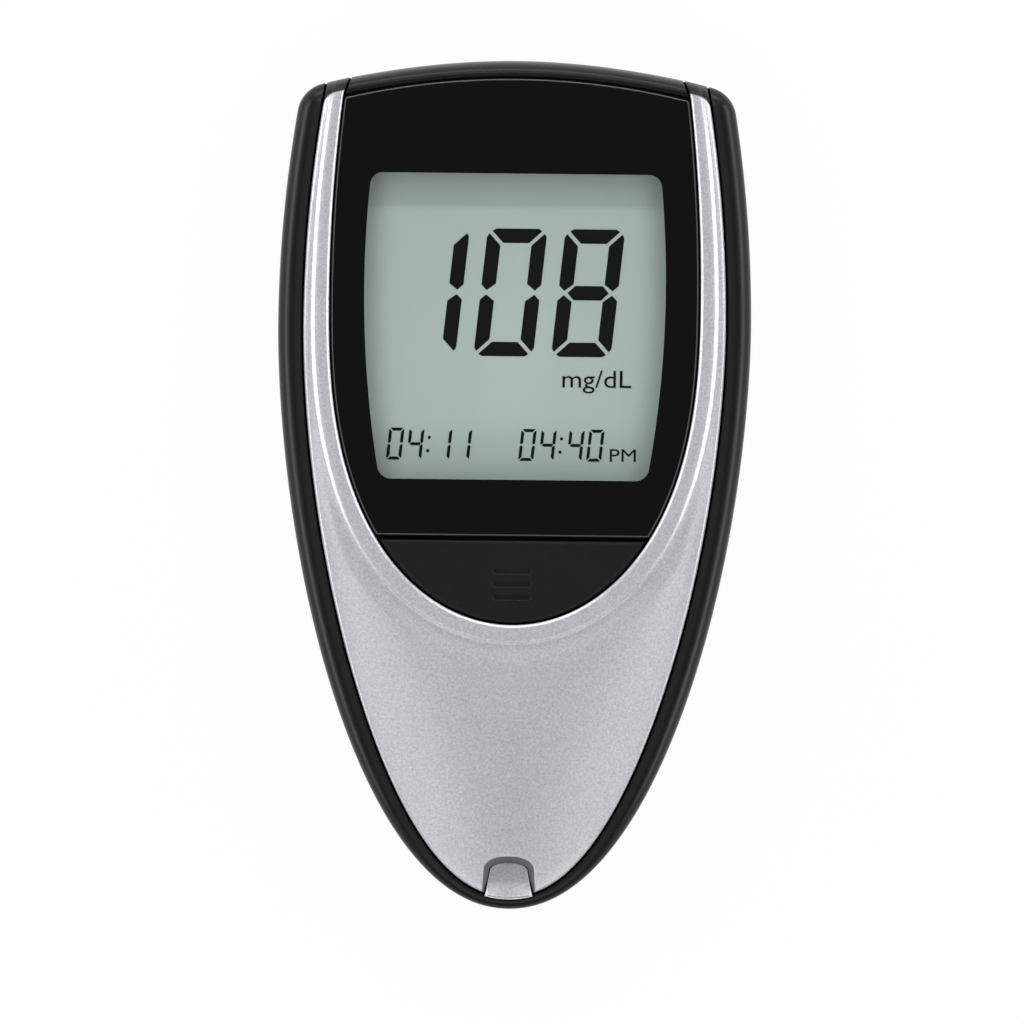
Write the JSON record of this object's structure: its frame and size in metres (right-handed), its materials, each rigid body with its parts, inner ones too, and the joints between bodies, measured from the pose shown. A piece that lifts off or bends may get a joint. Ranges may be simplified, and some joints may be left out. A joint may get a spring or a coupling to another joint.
{
  "type": "blood glucose meter",
  "caption": "Pocket blood glucose meter with a silver U-shaped bezel, large segment display, memory button, tapered strip port end and a battery door in the back.",
  "frame": {"origin": "middle of the footprint on the surface the meter lies on", "axes": "+Z out of the display, +Y towards the display end, -Y towards the strip port, +X to the right of someone who reads the display"},
  "size_m": [0.054, 0.097, 0.0172],
  "materials": {
    "black_shell": "satin moulded black plastic",
    "silver_paint": "silver lacquer on moulded plastic, satin",
    "lens_panel": "clear window in a glossy black printed border",
    "adhesive_tape": "matt foam tape",
    "button_black": "matt, finely textured",
    "plunger_white": "moulded",
    "component_black": "moulded epoxy",
    "ceramic_tan": "sintered",
    "bright_steel": "plated",
    "display_glass": "reflective liquid crystal cell",
    "display_film": "matt polariser film",
    "bracket_white": "moulded",
    "contact_rubber": "layered conductive rubber",
    "board_green": "solder resist on glass laminate",
    "contact_gold": "gold plated spring metal"
  },
  "bodies": {
    "meter_body": {"rear_case": "black_shell", "display_frame": "black_shell", "front_bezel": "silver_paint", "strip_guide": "silver_paint", "display_lens": "lens_panel", "lens_tape": "adhesive_tape", "memory_switch": "component_black", "set_switch": "component_black", "processor_chip": "component_black", "memory_chip": "component_black", "amplifier_chip": "component_black", "buzzer": "component_black", "capacitor_1": "ceramic_tan", "capacitor_2": "ceramic_tan", "crystal": "bright_steel", "lcd_glass": "display_glass", "lcd_film": "display_film", "lcd_bracket": "bracket_white", "contact_rubber": "contact_rubber", "main_board": "board_green", "strip_connector": "bracket_white", "strip_contact_1": "contact_gold", "strip_contact_2": "contact_gold", "strip_contact_3": "contact_gold", "coin_cell": "bright_steel", "battery_contact_negative": "bright_steel", "battery_contact_positive": "bright_steel", "case_screw_1": "bright_steel", "case_screw_2": "bright_steel", "case_screw_3": "bright_steel", "case_screw_4": "bright_steel"},
    "memory_key": {"memory_button": "button_black", "memory_plunger": "plunger_white"},
    "set_key": {"set_button": "button_black", "set_plunger": "plunger_white"},
    "door": {"battery_door": "black_shell"}
  },
  "joints": [
    {"name": "memory_press", "type": "slide", "parent": "meter_body", "child": "memory_key", "axis": [0, 0, -1], "range_m": [0, 0.0004], "stiffness_N_per_m": 400},
    {"name": "set_press", "type": "slide", "parent": "meter_body", "child": "set_key", "axis": [0, 0, 1], "range_m": [0, 0.0003], "stiffness_N_per_m": 500},
    {"name": "door_swing", "type": "hinge", "parent": "meter_body", "child": "door", "pos_m": [0, 0.00155, 0], "axis": [1, 0, 0], "range_deg": [0, 75]}
  ]
}
